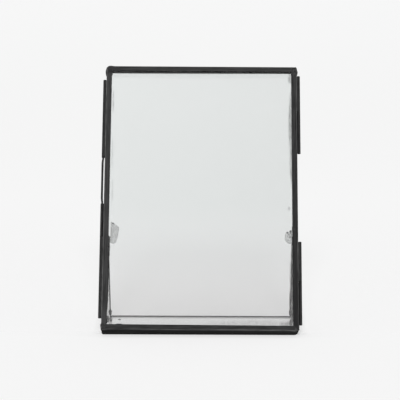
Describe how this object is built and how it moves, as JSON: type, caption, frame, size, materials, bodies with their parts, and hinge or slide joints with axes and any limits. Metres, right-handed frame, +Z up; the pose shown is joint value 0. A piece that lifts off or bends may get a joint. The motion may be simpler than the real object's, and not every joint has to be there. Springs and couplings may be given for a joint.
{
  "type": "standing glass photo frame",
  "caption": "Upright clear glass photo frame in thin dark metal came, with a front pane that swings open on side tubes and a folding wire stand behind.",
  "frame": {"origin": "middle of the object's box in plan, on the surface that it stands on", "axes": "+Z up, the front faces -Y, +X to the right as seen from the front"},
  "size_m": [0.1348, 0.1023, 0.1708],
  "materials": {
    "blackened_came": "satin",
    "black_solder": "satin",
    "dark_wire": "satin",
    "clear_glass": "polished",
    "clear_pad": "satin"
  },
  "bodies": {
    "rear_panel": {"rear_came_left": "blackened_came", "rear_came_right": "blackened_came", "rear_came_bottom": "blackened_came", "rear_came_top": "blackened_came", "rear_corner_solder": "black_solder", "rear_glass": "clear_glass", "rear_left_knuckle": "blackened_came", "rear_right_upper_knuckle": "blackened_came", "rear_right_lower_knuckle": "blackened_came", "rear_knuckle_solder": "black_solder", "hinge_pin": "dark_wire", "left_stand_lug": "dark_wire", "right_stand_lug": "dark_wire", "stand_lug_solder": "black_solder", "left_bumper_pad": "clear_pad", "right_bumper_pad": "clear_pad"},
    "front_panel": {"front_came_left": "blackened_came", "front_came_right": "blackened_came", "front_came_bottom": "blackened_came", "front_came_top": "blackened_came", "front_corner_solder": "black_solder", "front_glass": "clear_glass", "front_left_upper_knuckle": "blackened_came", "front_left_lower_knuckle": "blackened_came", "front_right_upper_knuckle": "blackened_came", "front_right_lower_knuckle": "blackened_came", "front_knuckle_solder": "black_solder"},
    "stand": {"stand_left_leg": "dark_wire", "stand_right_leg": "dark_wire", "stand_foot_bar": "dark_wire", "stand_foot_beads": "black_solder"}
  },
  "joints": [
    {"name": "front_panel_hinge", "type": "hinge", "parent": "rear_panel", "child": "front_panel", "pos_m": [-0.06625, 0.00006, 0.08515], "axis": [0, -0.4924, -0.8704], "range_deg": [0, 180]},
    {"name": "stand_fold", "type": "hinge", "parent": "rear_panel", "child": "stand", "pos_m": [0, -0.0095, 0.06011], "axis": [-1, 0, 0], "range_deg": [0, 55.36]}
  ]
}
